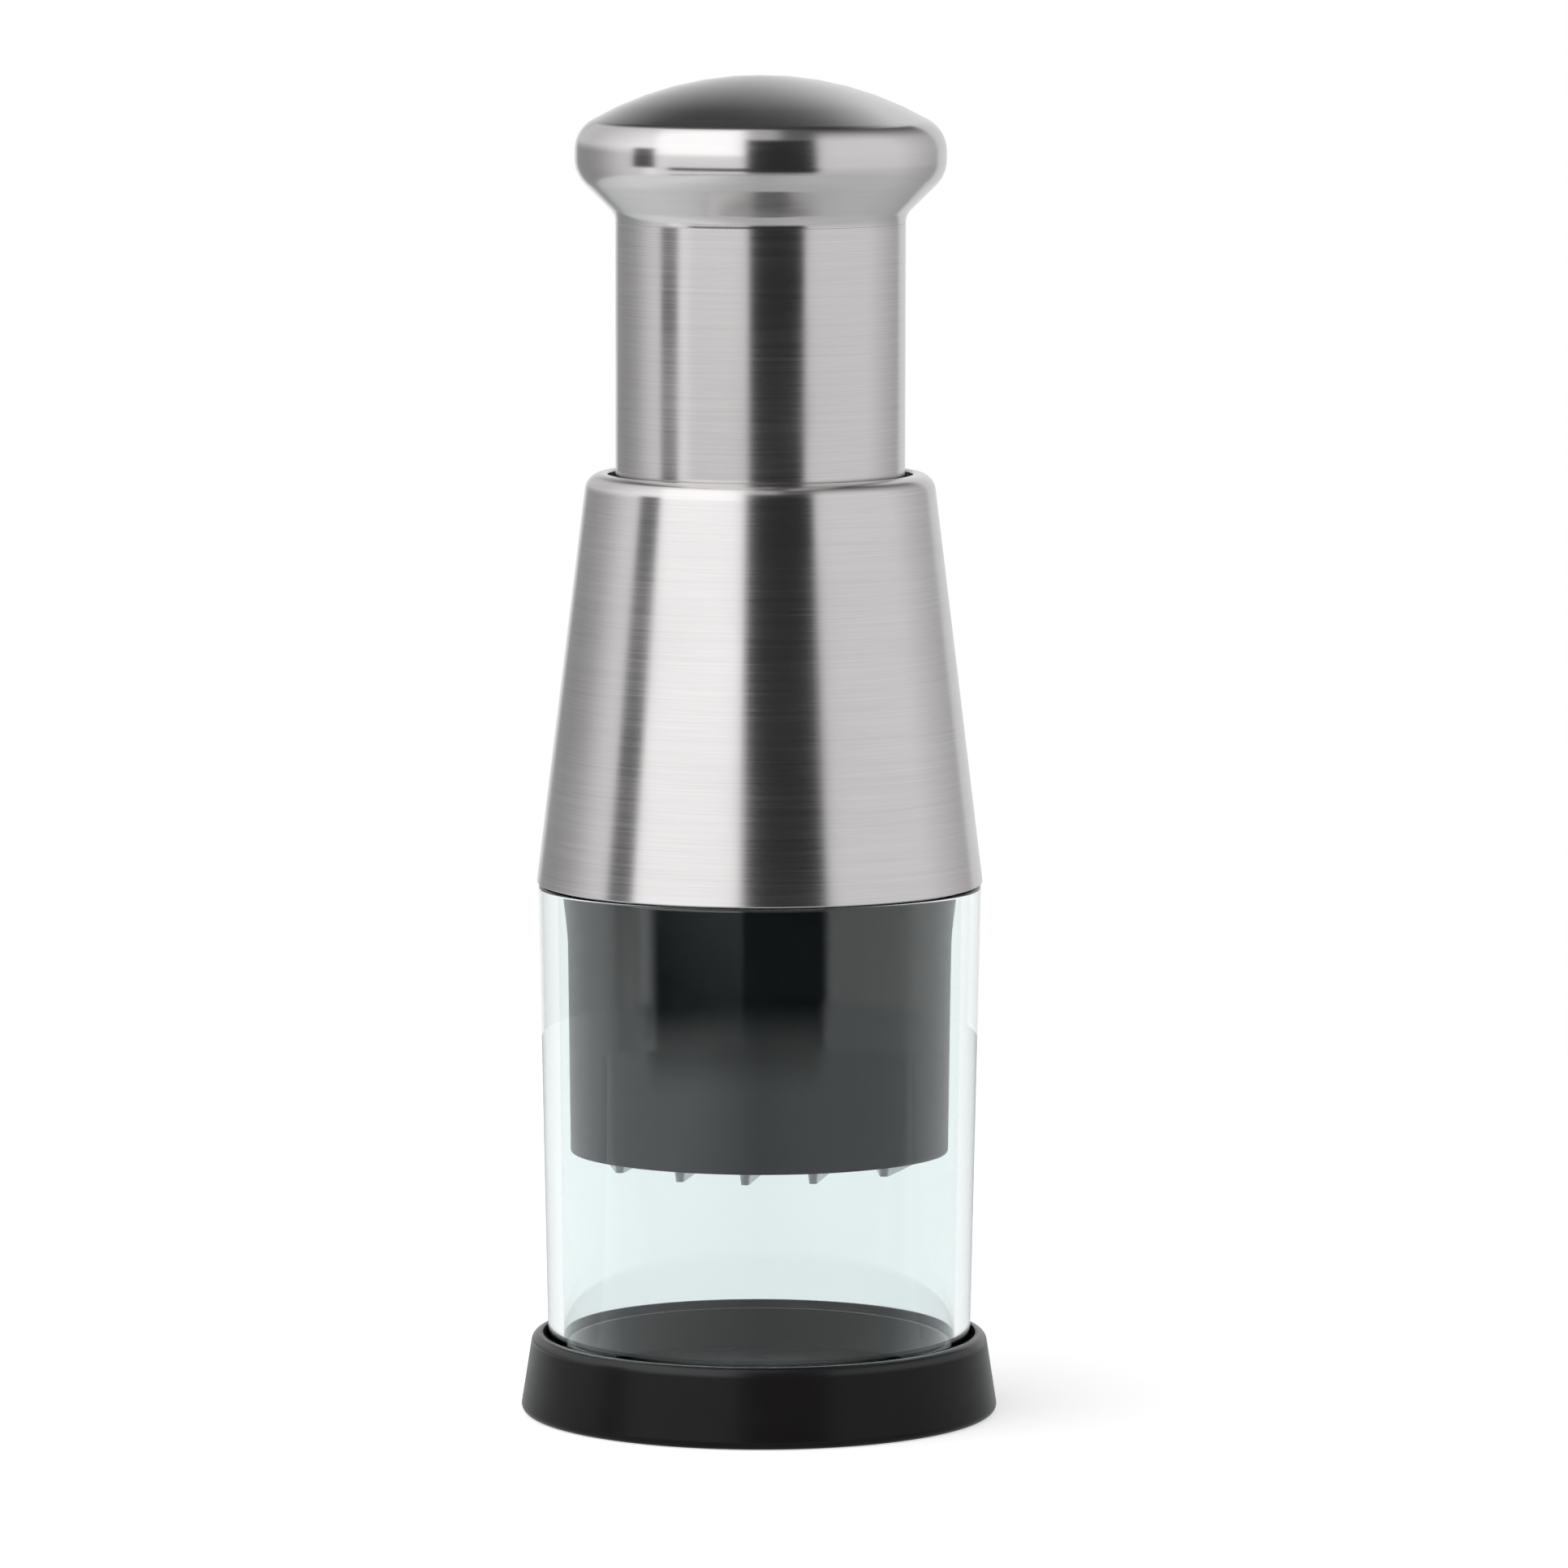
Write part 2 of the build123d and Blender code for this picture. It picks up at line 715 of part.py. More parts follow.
with BuildPart() as outer_shell:
    with BuildSketch(Plane.XZ) as outline:
        with BuildLine():
            Polyline(
                (0, shell_foot),
                (shell_foot_radius, shell_foot),
                (shell_corner_radius, shell_top),
                (0, shell_top),
                close=True,
            )
        make_face()
        fillet(
            outline.vertices().sort_by_distance((shell_corner_radius, shell_top))[0],
            shoulder_round,
        )
    revolve(axis=Axis.Z)
    offset(amount=-shell_wall, openings=outer_shell.faces().sort_by(Axis.Z)[0])
    with BuildSketch(Plane.XY.offset(shell_top)):
        Circle(mouth_radius)
    extrude(amount=-2 * shell_wall, mode=Mode.SUBTRACT)
    mouth_edges = outer_shell.edges().filter_by(GeomType.CIRCLE).group_by(Axis.Z)[-1]
    fillet(mouth_edges.sort_by(SortBy.RADIUS)[0], min(mouth_round, 0.8 * shell_wall))

# ---------------------------------------------------------------- plunger

with BuildPart() as plunger_tube:
    with BuildSketch(Plane.XY.offset(collar_foot + collar_ledge)):
        Circle(tube_radius)
        Circle(tube_bore, mode=Mode.SUBTRACT)
    extrude(amount=neck_foot - collar_foot - collar_ledge)

with BuildPart() as stop_collar:
    with BuildSketch(Plane.XZ):
        with BuildLine():
            Polyline(
                (collar_ledge_radius, collar_foot),
                (collar_radius, collar_foot),
                (collar_radius, collar_top),
                (tube_radius + snug_gap, collar_top),
                (tube_radius + snug_gap, collar_foot + collar_ledge),
                (collar_ledge_radius, collar_foot + collar_ledge),
                close=True,
            )
        make_face()
    revolve(axis=Axis.Z)
    with BuildSketch(Plane.XY.offset(collar_foot)):
        with PolarLocations(collar_radius - collar_wall / 2, key_count):
            Rectangle(
                key_reach - collar_radius + collar_wall / 2,
                key_width,
                align=(Align.MIN, Align.CENTER),
            )
    extrude(amount=collar_height)

with BuildPart() as stop_bumper:
    with BuildSketch(Plane.XY.offset(collar_top)):
        Circle(collar_radius - bumper_inset)
        Circle(tube_radius + snug_gap, mode=Mode.SUBTRACT)
    extrude(amount=bumper_thickness)

with BuildPart() as knob_shell:
    slope_turn = atan2(knob_radius - tube_radius, slope_rise)
    crown_turn = pi / 2 - asin(knob_radius / dome_radius)
    neck_fillet = neck_bend * neck_rise / tan(slope_turn / 2)
    under_fillet = under_bend * rim_rise / tan(slope_turn / 2)
    crown_fillet = crown_bend * rim_rise / tan(crown_turn / 2)
    with BuildSketch(Plane.XZ) as outline:
        with BuildLine():
            neck = Polyline(
                (0, knob_top),
                (0, neck_foot),
                (tube_radius, neck_foot),
                (tube_radius, slope_foot),
                (knob_radius, slope_top),
                (knob_radius, crown_foot),
            )
            RadiusArc(neck @ 1, neck @ 0, -dome_radius)
        make_face()
        fillet(outline.vertices().sort_by_distance((tube_radius, slope_foot))[0], neck_fillet)
        fillet(outline.vertices().sort_by_distance((knob_radius, slope_top))[0], under_fillet)
        fillet(outline.vertices().sort_by_distance((knob_radius, crown_foot))[0], crown_fillet)
    revolve(axis=Axis.Z)
    offset(amount=-knob_wall, openings=knob_shell.faces().sort_by(Axis.Z)[0])

with BuildPart() as knob_core:
    bore = stud_radius + snug_gap
    pad_height = dome_centre + sqrt((dome_radius - knob_wall) ** 2 - stud_pad_radius**2) - snug_gap
    stem_top = pad_height - stud_pad_thickness
    with BuildSketch(Plane.XZ):
        with BuildLine():
            Polyline(
                (bore, chamber_top),
                (chamber_radius, chamber_top),
                (chamber_radius, thrust_top + snug_gap),
                (thrust_radius + snug_gap, thrust_top + snug_gap),
                (thrust_radius + snug_gap, boss_foot),
                (boss_radius, boss_foot),
                (boss_radius, disc_foot),
                (core_radius - core_wall, disc_foot),
                (core_radius - core_wall, disc_foot - core_skirt),
                (core_radius, disc_foot - core_skirt),
                (core_radius, disc_top + core_spigot),
                (core_radius - core_wall, disc_top + core_spigot),
                (core_radius - core_wall, disc_top),
                (core_stem_radius, disc_top),
                (core_stem_radius, stem_top),
                (bore, stem_top),
                close=True,
            )
        make_face()
    revolve(axis=Axis.Z)

with BuildPart() as knob_stud:
    nut_foot = chamber_top - nut_washer_thickness - nut_thickness
    with Locations((0, 0, stem_top)):
        Cylinder(stud_pad_radius, stud_pad_thickness, align=upwards)
        Cylinder(stud_radius, stem_top - nut_foot + stud_end, align=downwards)
    chamfer(knob_stud.edges().group_by(Axis.Z)[0], stud_radius / 4)

with BuildPart() as knob_washer:
    with BuildSketch(Plane.XY.offset(chamber_top)):
        Circle(chamber_radius - slide_gap)
        Circle(stud_radius + snug_gap, mode=Mode.SUBTRACT)
    extrude(amount=-nut_washer_thickness)

with BuildPart() as knob_nut:
    with BuildSketch(Plane.XY.offset(nut_foot)):
        RegularPolygon(nut_width / 2, 6, major_radius=False)
        Circle(stud_radius + snug_gap, mode=Mode.SUBTRACT)
    extrude(amount=nut_thickness)

with BuildPart() as thrust_bush:
    with Locations((0, 0, thrust_foot)):
        Cylinder(thrust_radius + bush_flange_width, bush_flange_thickness, align=upwards)
        Cylinder(thrust_radius, thrust_top - thrust_foot, align=upwards)
        Cylinder(thrust_bore, thrust_top - thrust_foot, align=upwards, mode=Mode.SUBTRACT)

# ---------------------------------------------------------------- files

pieces = {
    "base_cap": base_cap,
    "cutting_board": cutting_board,
    "clear_container": clear_container,
    "outer_shell": outer_shell,
    "housing_liner": housing_liner,
    "guide_bush": guide_bush,
    "blade_guard": blade_guard,
    "guard_screws": guard_screws,
    "cam_bush": cam_bush,
    "spring_seat": spring_seat,
    "return_spring": return_spring,
    "retaining_ring": retaining_ring,
    "neck_seal": neck_seal,
    "knob_shell": knob_shell,
    "knob_core": knob_core,
    "knob_stud": knob_stud,
    "knob_nut": knob_nut,
    "knob_washer": knob_washer,
    "plunger_tube": plunger_tube,
    "stop_collar": stop_collar,
    "stop_bumper": stop_bumper,
    "thrust_bush": thrust_bush,
    "drive_spindle": drive_spindle,
    "spindle_screw": spindle_screw,
    "spindle_washer": spindle_washer,
    "blade_holder": blade_holder,
    "zigzag_blade": zigzag_blade,
    "holder_screws": holder_screws,
    "stripper_plate": stripper_plate,
}

os.makedirs("parts", exist_ok=True)
for name, piece in pieces.items():
    piece.part.label = name
    export_step(piece.part, f"parts/{name}.step")
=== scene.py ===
# Looks of the plunger food chopper, in metres, in the frame of its CAD model: the pieces that
# get a finer mesh, the finish of every piece, the studio around it and the camera.

import json
from math import atan2, cos, pi, radians, sin, sqrt, tan

import bpy
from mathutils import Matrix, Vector


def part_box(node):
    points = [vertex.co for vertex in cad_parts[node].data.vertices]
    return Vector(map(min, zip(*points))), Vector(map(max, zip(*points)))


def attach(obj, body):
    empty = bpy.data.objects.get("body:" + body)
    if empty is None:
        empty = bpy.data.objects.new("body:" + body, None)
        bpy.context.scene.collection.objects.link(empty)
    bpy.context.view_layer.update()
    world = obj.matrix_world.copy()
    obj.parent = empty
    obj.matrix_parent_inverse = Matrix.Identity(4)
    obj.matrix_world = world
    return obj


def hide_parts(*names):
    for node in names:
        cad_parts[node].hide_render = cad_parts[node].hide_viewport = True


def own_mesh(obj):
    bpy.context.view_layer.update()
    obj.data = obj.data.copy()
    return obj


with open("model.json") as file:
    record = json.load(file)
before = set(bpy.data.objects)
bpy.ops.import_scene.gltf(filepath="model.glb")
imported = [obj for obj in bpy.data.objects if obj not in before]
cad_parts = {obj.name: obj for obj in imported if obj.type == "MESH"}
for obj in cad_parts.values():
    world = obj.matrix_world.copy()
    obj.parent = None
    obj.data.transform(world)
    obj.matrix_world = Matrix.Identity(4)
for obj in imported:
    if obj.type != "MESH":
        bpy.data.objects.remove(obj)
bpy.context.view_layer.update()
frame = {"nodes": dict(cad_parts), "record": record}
nodes = frame["nodes"]
mm = 0.001


# ---------------------------------------------------------------- meshes

segments = 192  # of every turned piece
arc_step = radians(5)  # between the points of a rounded corner
crease = radians(30)  # edges that turn further than this stay sharp
on_axis = 1e-7  # a point nearer to the axis than this lies on it


def node_size(node):
    """Radius, lowest and highest height of a round CAD node."""
    low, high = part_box(node)
    return high.x, low.z, high.z


def arc(centre, radius, start, end):
    """Points of an arc in the (radius, height) plane, from one angle to the other."""
    count = max(2, round(abs(end - start) / arc_step) + 1)
    turns = [start + (end - start) * i / (count - 1) for i in range(count)]
    return [Vector((centre[0] + radius * cos(t), centre[1] + radius * sin(t))) for t in turns]


def rounded(corners, closed=True):
    """Outline through corners (radius, height) or (radius, height, rounding)."""
    points = []
    for i, (r, z, *rounding) in enumerate(corners):
        corner = Vector((r, z))
        at_end = not closed and i in (0, len(corners) - 1)
        if at_end or not rounding:
            points.append(corner)
            continue
        before = (Vector(corners[i - 1][:2]) - corner).normalized()
        after = (Vector(corners[(i + 1) % len(corners)][:2]) - corner).normalized()
        half = before.angle(after) / 2
        middle = corner + (before + after).normalized() * rounding[0] / sin(half)
        first = corner + before * rounding[0] / tan(half) - middle
        last = corner + after * rounding[0] / tan(half) - middle
        start = atan2(first.y, first.x)
        turn = atan2(first.x * last.y - first.y * last.x, first.dot(last))
        points += arc(middle, rounding[0], start, start + turn)
    return points


def new_piece(name, points, faces, body):
    """Object made of points and faces, smooth but for its creases, that rides on a CAD body."""
    mesh = bpy.data.meshes.new(name)
    mesh.from_pydata(points, [], faces)
    mesh.validate()
    mesh.shade_smooth()
    mesh.set_sharp_from_angle(angle=crease)
    piece = bpy.data.objects.new(name, mesh)
    bpy.context.scene.collection.objects.link(piece)
    weighted = piece.modifiers.new("even_shading", "WEIGHTED_NORMAL")
    weighted.keep_sharp = True
    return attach(piece, body)


def turned(name, outline, body, closed=True):
    """Solid of revolution about Z. An open outline starts and ends on the axis."""
    points, rings = [], []
    for r, z in outline:
        count = segments if r > on_axis else 1
        rings.append((len(points), count))
        for i in range(count):
            turn = 2 * pi * i / segments
            points.append((r * cos(turn), r * sin(turn), z))
    faces = []
    for (a, a_count), (b, b_count) in zip(rings, rings[1:] + rings[:1] if closed else rings[1:]):
        for i in range(segments):
            j = (i + 1) % segments
            quad = (a + i % a_count, a + j % a_count, b + j % b_count, b + i % b_count)
            faces.append(tuple(dict.fromkeys(quad)))  # a triangle where a ring is one point
    return new_piece(name, points, faces, body)


def swept_wire(name, path, wire_radius, body, sides=16):
    """Round wire along a path of (point, outward direction) pairs, with flat ends."""
    points = []
    for i, (point, outward) in enumerate(path):
        ahead = path[min(i + 1, len(path) - 1)][0] - path[max(i - 1, 0)][0]
        across = ahead.cross(outward).normalized()
        for k in range(sides):
            turn = 2 * pi * k / sides
            points.append(point + wire_radius * (outward * cos(turn) + across * sin(turn)))
    last = (len(path) - 1) * sides
    faces = []
    for ring in range(0, last, sides):
        for k in range(sides):
            beside = (k + 1) % sides
            faces.append((ring + k, ring + beside, ring + sides + beside, ring + sides + k))
    faces += [tuple(reversed(range(sides))), tuple(range(last, last + sides))]
    return new_piece(name, points, faces, body)


# ---------------------------------------------------------------- pieces


def make_outer_shell():
    """Spun steel cone with a rolled mouth."""
    wall = 0.8 * mm
    mouth, corner = 18.35 * mm, 20.84 * mm
    foot, low, high = node_size("outer_shell")
    outline = rounded([
        (foot, low, 0.15 * mm),
        (corner, high, 2.2 * mm),
        (mouth, high, 0.3 * mm),
        (mouth, high - wall, 0.2 * mm),
        (corner - wall, high - wall, 1.4 * mm),
        (foot - wall, low, 0.15 * mm),
    ])
    return turned("steel_shell", outline, "housing")


def make_plunger_tube():
    """Straight steel tube; its ends are broken by a small rounding."""
    wall = 0.8 * mm
    edge = 0.05 * mm
    radius, low, high = node_size("plunger_tube")
    bore = radius - wall
    outline = rounded([
        (radius, low, edge),
        (radius, high, edge),
        (bore, high, edge),
        (bore, low, edge),
    ])
    return turned("steel_tube", outline, "plunger")


def make_knob():
    """Hollow mushroom knob: a dome that rolls over the rim, an underside and a straight neck."""
    wall = 0.8 * mm
    edge = 0.04 * mm
    neck_height, under_height, rim_height = 0.95 * mm, 4.8 * mm, 5.2 * mm
    neck_bend, under_bend, crown_bend = 2.19 * mm, 4.33 * mm, 4.23 * mm
    neck = node_size("plunger_tube")[0]
    radius, low, high = node_size("knob_shell")
    under_foot = low + neck_height
    under_top = under_foot + under_height
    crown_foot = under_top + rim_height
    rise = high - crown_foot
    dome = (radius**2 + rise**2) / (2 * rise)
    centre = high - dome
    bend_height = centre + sqrt((dome - crown_bend) ** 2 - (radius - crown_bend) ** 2)
    bend_turn = atan2(bend_height - centre, radius - crown_bend)

    def skin(inset):
        """Outer face of the sheet, or its inner face, which lies an inset further in."""
        crown = (
            arc((0, centre), dome - inset, pi / 2, bend_turn)[:-1]
            + arc((radius - crown_bend, bend_height), crown_bend - inset, bend_turn, 0)
        )
        crown[0].x = 0
        lift = inset * tan(pi / 8)  # of a corner between an upright and the slanting underside
        foot = inset - edge if inset else edge
        lower = rounded([
            tuple(crown[-1]),
            (radius - inset, under_top + lift, under_bend - inset),
            (neck - inset, under_foot + lift, neck_bend + inset),
            (neck - inset, low + edge),
            (neck - foot, low),
        ], closed=False)
        return crown + lower[1:]

    outline = skin(0) + skin(wall)[::-1]
    return turned("steel_knob", outline, "plunger", closed=False)


def make_container():
    """Clear tapered cylinder; the shell sits over its shoulder and neck."""
    soft, crisp = 0.4 * mm, 0.3 * mm
    foot_radius, foot_bore = 25.45 * mm, 23.6 * mm
    neck_radius, neck_bore = 25.3 * mm, 24.4 * mm
    shoulder, shoulder_radius = 64.3 * mm, 26.7 * mm
    _, low, high = node_size("clear_container")
    outline = rounded([
        (foot_bore, low, soft),
        (foot_radius, low, soft),
        (shoulder_radius, shoulder, soft),
        (neck_radius, shoulder, crisp),
        (neck_radius, high, crisp),
        (neck_bore, high, crisp),
    ])
    return turned("container_wall", outline, "container")


def make_base():
    """Black base: foot ring, rim, groove for the container and dish."""
    soft, crisp = 0.3 * mm, 0.15 * mm
    underside, underside_radius = 1.0 * mm, 24.55 * mm
    foot, rim = 28.95 * mm, 27.45 * mm
    groove_outer, groove_inner, groove_foot = 25.8 * mm, 23.4 * mm, 3.4 * mm
    ridge_top, ridge_inner = 9.0 * mm, 22.6 * mm
    dish_step = 0.5 * mm
    rim_top = node_size("base_cap")[2]
    board, board_low, board_high = node_size("cutting_board")
    pocket = board + 0.05 * mm
    outline = rounded([
        (0, underside),
        (underside_radius, underside, soft),
        (underside_radius, 0, soft),
        (foot, 0, 0.9 * mm),
        (rim, rim_top, 1.1 * mm),
        (groove_outer, rim_top, crisp),
        (groove_outer, groove_foot, soft),
        (groove_inner, groove_foot, soft),
        (groove_inner, ridge_top, soft),
        (ridge_inner, ridge_top, soft),
        (pocket, board_high + dish_step, 0.4 * mm),
        (pocket, board_low, crisp),
        (0, board_low),
    ], closed=False)
    return turned("base_moulding", outline, "base", closed=False)


def make_board():
    """Black cutting disc with a rounded top edge."""
    radius, low, high = node_size("cutting_board")
    corners = [(0, low), (radius, low), (radius, high, 0.3 * mm), (0, high)]
    return turned("board_disc", rounded(corners, closed=False), "base", closed=False)


def make_spring():
    """Compression spring with closed, ground ends."""
    wire_radius = 0.65 * mm
    coils, closed_turns = 12.0, 1.0
    points_per_turn = 48
    radius, low, high = node_size("return_spring")
    radius -= wire_radius
    closed_rise = 2 * wire_radius * 1.02  # a closed turn just clears the next one
    open_turns = coils - 2 * closed_turns
    open_rise = (high - low - 2 * wire_radius - 2 * closed_turns * closed_rise) / open_turns

    def height(turn):
        to_end = min(turn, coils - turn)
        closed_part = min(to_end, closed_turns)
        rise = closed_part * closed_rise + (to_end - closed_part) * open_rise
        in_lower_half = turn < coils / 2
        return low + wire_radius + rise if in_lower_half else high - wire_radius - rise

    path = []
    for i in range(round(coils * points_per_turn) + 1):
        turn = i / points_per_turn
        outward = Vector((cos(2 * pi * turn), sin(2 * pi * turn), 0))
        path.append((outward * radius + Vector((0, 0, height(turn))), outward))
    spring = swept_wire("spring_coil", path, wire_radius, "housing")
    ground = wire_radius / 2  # what is ground off at each end
    for vertex in spring.data.vertices:
        vertex.co.z = min(max(vertex.co.z, low + ground), high - ground)
    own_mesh(spring)
    return spring


# ---------------------------------------------------------------- shader nodes


def add(tree, kind, inputs=(), **settings):
    """Adds a shader node. Each input is a value, or the output that feeds it."""
    node = tree.nodes.new("ShaderNode" + kind)
    for name, value in settings.items():
        setattr(node, name, value)
    for socket, value in dict(inputs).items():
        if isinstance(value, bpy.types.NodeSocket):
            tree.links.new(value, node.inputs[socket])
        else:
            node.inputs[socket].default_value = value
    return node


def maths(tree, operation, one, two=0.0, three=0.0):
    """Output of a math node."""
    return add(tree, "Math", {0: one, 1: two, 2: three}, operation=operation).outputs[0]


def plus(tree, one, two):
    return maths(tree, "ADD", one, two)


def minus(tree, one, two):
    return maths(tree, "SUBTRACT", one, two)


def times(tree, one, two):
    return maths(tree, "MULTIPLY", one, two)


def distance(tree, x, y):
    """Length of (x, y)."""
    return maths(tree, "SQRT", plus(tree, times(tree, x, x), times(tree, y, y)))


def vector_maths(tree, operation, one, two=(0, 0, 0)):
    """Output of a vector math node."""
    return add(tree, "VectorMath", {0: one, 1: two}, operation=operation).outputs[0]


def split(tree, vector):
    """X, Y and Z of a vector."""
    return add(tree, "SeparateXYZ", {0: vector}).outputs


def ramp(tree, value, low, high, to_low=0.0, to_high=1.0, kind="LINEAR"):
    """Maps a value from one range to another, and holds it at the ends."""
    limits = {"From Min": low, "From Max": high, "To Min": to_low, "To Max": to_high}
    return add(tree, "MapRange", {"Value": value, **limits}, interpolation_type=kind).outputs[0]


def blend(tree, share, one, two):
    """Output of a mix node for numbers."""
    return add(tree, "Mix", {0: share, 2: one, 3: two}).outputs[0]


def blend_colours(tree, share, one, two):
    """Output of a mix node for colours."""
    return add(tree, "Mix", {0: share, 6: one, 7: two}, data_type="RGBA").outputs[2]


def grey(level):
    """Neutral colour."""
    return (level, level, level, 1)


def object_place(tree):
    """Place on the piece, which stays with it in every pose."""
    return add(tree, "TexCoord").outputs["Object"]


def noise(tree, scale, detail, place=None, finer=(1, 1, 1)):
    """Noise over the piece, or over another place, which may be finer along an axis."""
    place = vector_maths(tree, "MULTIPLY", place or object_place(tree), finer)
    return add(tree, "TexNoise", {"Vector": place, "Scale": scale, "Detail": detail}).outputs[0]


# ---------------------------------------------------------------- finishes

relief = 0.02 * mm  # height of a bump at full strength
usual = (0.3, 0.7)  # most values of a noise lie between these
marks = (0.45, 0.75)  # wear shows where a noise is in its upper part


def new_finish(name, **values):
    """Material with a principled shader whose even values are set on its sockets."""
    material = bpy.data.materials.new(name)
    material.use_nodes = True
    tree = material.node_tree
    shader = tree.nodes["Principled BSDF"]
    for socket, value in values.items():
        shader.inputs[socket.replace("_", " ")].default_value = value
    return material, tree, shader


def bump(tree, shader, height, strength, full_height=relief):
    """Feeds a height into the shader's normal."""
    values = {"Height": height, "Strength": strength, "Distance": full_height}
    tree.links.new(add(tree, "Bump", values).outputs[0], shader.inputs["Normal"])


def uneven_colour(tree, shader, pattern, colour, spread):
    """Feeds the shader a colour that a pattern makes darker and lighter by the spread."""
    dark = tuple(c * (1 - spread) for c in colour)
    light = tuple(min(1, c * (1 + spread)) for c in colour)
    blended = blend_colours(tree, ramp(tree, pattern, *usual), (*dark, 1), (*light, 1))
    tree.links.new(blended, shader.inputs["Base Color"])


def brushed_lines(tree, lines, slope):
    """Noise in fine lines around Z. The slope lets the lines run on over a dome as rings."""
    draw_out = 0.012  # how fast the noise changes along a line, as a share of across it
    x, y, z = split(tree, object_place(tree))
    along = minus(tree, z, times(tree, distance(tree, x, y), slope))
    place = add(tree, "CombineXYZ", {
        0: times(tree, x, draw_out),
        1: times(tree, y, draw_out),
        2: along,
    }).outputs[0]
    return add(tree, "TexNoise", {"Vector": place, "Scale": lines, "Detail": 2.0}).outputs[0]


def steel(name, colour, rough, spread, lines, depth, slope=0.0, smudge=0.03, **values):
    """Steel brushed in rings around Z: lines in colour, roughness and relief, and smudges."""
    material, tree, shader = new_finish(name, Metallic=1.0, **values)
    fine = times(tree, brushed_lines(tree, lines, slope), 0.7)
    coarse = times(tree, brushed_lines(tree, lines / 3, slope), 0.3)
    grain = plus(tree, fine, coarse)
    uneven_colour(tree, shader, grain, colour, spread)
    lined = ramp(tree, grain, *usual, rough * 0.9, rough * 1.1)
    smudged = ramp(tree, noise(tree, 55, 2.0), 0.35, 0.7, -smudge, smudge)
    tree.links.new(plus(tree, lined, smudged), shader.inputs["Roughness"])
    bump(tree, shader, grain, depth)
    if "Anisotropic" in values:
        tangent = add(tree, "Tangent", direction_type="RADIAL", axis="Z")
        tree.links.new(tangent.outputs[0], shader.inputs["Tangent"])
    return material


def plastic(name, colour, rough, texture, depth, spread=0.15, scuffs=0.06, **values):
    """Moulded plastic: slight unevenness of colour, fine relief, and scuffs that dull the gloss."""
    material, tree, shader = new_finish(name, **values)
    uneven_colour(tree, shader, noise(tree, 90, 3.0), colour, spread)
    rubbed = noise(tree, 260, 4.0, finer=(1, 1, 3))
    shine = ramp(tree, rubbed, *marks, rough, rough + scuffs)
    tree.links.new(shine, shader.inputs["Roughness"])
    bump(tree, shader, noise(tree, texture, 2.0), depth)
    return material


def base_plastic():
    """Glossy black of the base, with a painted highlight and painted shade on its rim. The specular
    level is raised on the rim's outer rounding to paint a highlight line along it, and set to
    nothing on the rim's flat top to paint that top darker.
    """
    # specular levels: plain over most of the base, none on the rim's flat top (painted shade), more
    # on its outer rounding (painted highlight)
    plain, dull, highlight_level = 0.12, 0.0, 0.4
    material = plastic(
        "black_gloss", colour=(0.0135, 0.0122, 0.0128), rough=0.24, texture=5000, depth=0.04,
        scuffs=0.03, Specular_IOR_Level=plain,
    )
    tree = material.node_tree
    shader = tree.nodes["Principled BSDF"]
    x, y, z = split(tree, object_place(tree))
    radius = distance(tree, x, y)
    near_top = ramp(tree, z, 8.4 * mm, 8.8 * mm)
    past_groove = ramp(tree, radius, 25.2 * mm, 25.6 * mm)
    # painted highlight and shade: the outer rounding's specular level rises to paint a highlight
    # line, and the flat top's is nothing, which paints it darker
    rim = ramp(tree, radius, 26.2 * mm, 26.7 * mm, dull, highlight_level)
    level = blend(tree, times(tree, near_top, past_groove), plain, rim)
    tree.links.new(level, shader.inputs["Specular IOR Level"])
    return material


def clear_plastic():
    """Clear container plastic, very slightly green, with faint wipe marks."""
    tint = (0.825, 0.875, 0.875, 1)
    material, tree, shader = new_finish(
        "clear_plastic", Base_Color=tint, Transmission_Weight=1.0, IOR=1.57
    )
    wiped = noise(tree, 120, 3.0, finer=(1, 1, 2.5))
    tree.links.new(ramp(tree, wiped, *marks, 0.0, 0.05), shader.inputs["Roughness"])
    bump(tree, shader, noise(tree, 60, 1.0), 0.02, 0.05 * mm)
    return material


def chopping_board():
    """Black board with the fine cuts that the zigzag blade leaves in all directions."""
    turns_and_shifts = ((0.2, 3.0 * mm), (1.3, 11.0 * mm), (2.4, 29.0 * mm))
    plain, cut = 0.010, 0.018
    material, tree, shader = new_finish("black_board", Specular_IOR_Level=0.08)
    place = object_place(tree)
    whole = 1.0  # where the board isn't cut
    for turn, shift in turns_and_shifts:
        spun = add(
            tree, "VectorRotate", {"Vector": place, "Angle": turn}, rotation_type="Z_AXIS"
        ).outputs[0]
        moved = vector_maths(tree, "ADD", spun, (shift, 0, 0))
        line = noise(tree, 700, 2.0, moved, (1, 0.06, 1))
        whole = times(tree, whole, ramp(tree, line, 0.30, 0.36))
    shade = blend_colours(tree, whole, grey(cut), grey(plain))
    tree.links.new(shade, shader.inputs["Base Color"])
    tree.links.new(ramp(tree, whole, 0, 1, 0.55, 0.38), shader.inputs["Roughness"])
    bump(tree, shader, whole, 0.15, 0.05 * mm)
    return material


